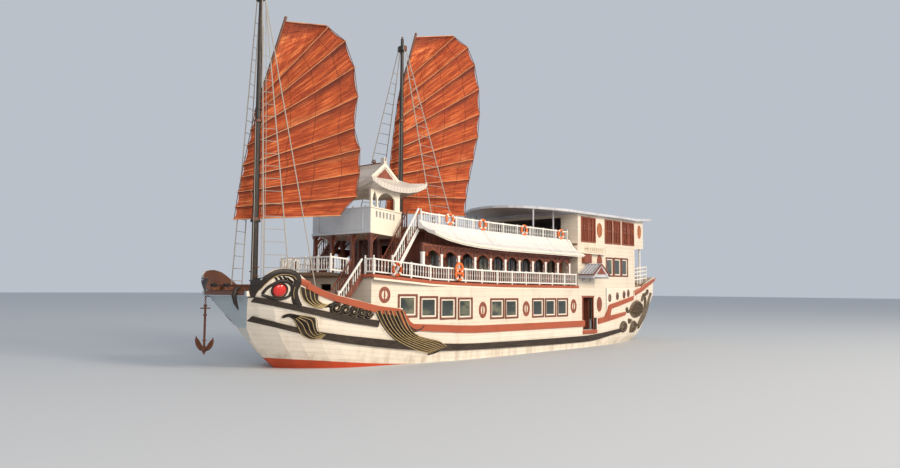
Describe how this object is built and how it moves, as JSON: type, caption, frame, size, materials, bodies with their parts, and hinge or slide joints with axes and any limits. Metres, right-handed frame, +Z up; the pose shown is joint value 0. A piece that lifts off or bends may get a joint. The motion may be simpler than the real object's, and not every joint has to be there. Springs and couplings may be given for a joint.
{
  "type": "passenger junk ship",
  "caption": "Three-deck motor passenger junk afloat: raked wooden hull, arcaded saloon deck, aft cabins, bow pavilion and batten sails that swing on their masts.",
  "frame": {"origin": "on the waterline, amidships, on the centreline", "axes": "+X to the bow, +Y to port, +Z up"},
  "size_m": [38.1873, 10.9, 22.0375],
  "materials": {
    "cream_paint": "satin",
    "white_paint": "satin",
    "strake_paint": "satin",
    "dark_timber": "matt",
    "red_timber": "satin",
    "deck_timber": "matt",
    "mast_timber": "satin",
    "sail_cloth": "matt",
    "rope": "matt",
    "iron": "matt",
    "bronze": "satin"
  },
  "bodies": {
    "vessel": {"aft_house_main": "cream_paint", "aft_house_upper": "cream_paint", "aft_roof": "white_paint", "anchor": "iron", "arcade_port": "red_timber", "arcade_starboard": "red_timber", "balcony_rail": "white_paint", "bow_bulwark": "cream_paint", "canopy_port": "white_paint", "canopy_starboard": "white_paint", "fore_stair_port": "strake_paint", "fore_stair_starboard": "strake_paint", "fore_stays_port": "rope", "fore_stays_starboard": "rope", "foremast": "mast_timber", "hull": "cream_paint", "lower_house": "cream_paint", "lower_wale_port": "dark_timber", "lower_wale_starboard": "dark_timber", "main_cabin": "red_timber", "main_deck": "deck_timber", "main_rail_port": "white_paint", "main_rail_starboard": "white_paint", "main_stays_port": "rope", "main_stays_starboard": "rope", "mainmast": "mast_timber", "pavilion_base": "cream_paint", "pavilion_frame": "cream_paint", "pavilion_roof": "cream_paint", "porch_port": "white_paint", "porch_starboard": "white_paint", "quarter_strake_port": "strake_paint", "quarter_strake_starboard": "strake_paint", "rubbing_strake_port": "strake_paint", "rubbing_strake_starboard": "strake_paint", "stern_bulwark": "cream_paint", "stern_rail": "white_paint", "upper_deck": "deck_timber", "upper_rail_port": "white_paint", "upper_rail_starboard": "white_paint", "upper_stair_port": "white_paint", "upper_stair_starboard": "white_paint", "upper_wale_port": "dark_timber", "upper_wale_starboard": "dark_timber"},
    "foresail": {"foresail": "sail_cloth"},
    "mainsail": {"mainsail": "sail_cloth"},
    "rudder": {"rudder": "iron"},
    "propeller_port": {"propeller_port": "bronze"},
    "propeller_starboard": {"propeller_starboard": "bronze"},
    "side_door_port_fore": {"side_door_port_fore": "red_timber"},
    "side_door_port_aft": {"side_door_port_aft": "red_timber"},
    "side_door_starboard_fore": {"side_door_starboard_fore": "red_timber"},
    "side_door_starboard_aft": {"side_door_starboard_aft": "red_timber"}
  },
  "joints": [
    {"name": "foresail_swing", "type": "hinge", "parent": "vessel", "child": "foresail", "pos_m": [17.2, 0, 0], "axis": [0, 0, 1], "range_deg": [-7, 60]},
    {"name": "mainsail_swing", "type": "hinge", "parent": "vessel", "child": "mainsail", "pos_m": [7.1, 0, 0], "axis": [0, 0, 1], "range_deg": [-43, 47]},
    {"name": "rudder_turn", "type": "hinge", "parent": "vessel", "child": "rudder", "pos_m": [-15.3, 0, 0], "axis": [0, 0, 1], "range_deg": [-35, 35]},
    {"name": "propeller_port_spin", "type": "hinge", "parent": "vessel", "child": "propeller_port", "pos_m": [-14.2, 1.5, -1.47], "axis": [1, 0, 0], "continuous": true},
    {"name": "propeller_starboard_spin", "type": "hinge", "parent": "vessel", "child": "propeller_starboard", "pos_m": [-14.2, -1.5, -1.47], "axis": [1, 0, 0], "continuous": true},
    {"name": "side_door_port_fore_swing", "type": "hinge", "parent": "vessel", "child": "side_door_port_fore", "pos_m": [-6.635, 3.99987, 0], "axis": [0, 0, 1], "range_deg": [-90, 0]},
    {"name": "side_door_port_aft_swing", "type": "hinge", "parent": "vessel", "child": "side_door_port_aft", "pos_m": [-7.905, 3.99987, 0], "axis": [0, 0, 1], "range_deg": [0, 90]},
    {"name": "side_door_starboard_fore_swing", "type": "hinge", "parent": "vessel", "child": "side_door_starboard_fore", "pos_m": [-6.635, -3.99987, 0], "axis": [0, 0, 1], "range_deg": [0, 90]},
    {"name": "side_door_starboard_aft_swing", "type": "hinge", "parent": "vessel", "child": "side_door_starboard_aft", "pos_m": [-7.905, -3.99987, 0], "axis": [0, 0, 1], "range_deg": [-90, 0]}
  ]
}
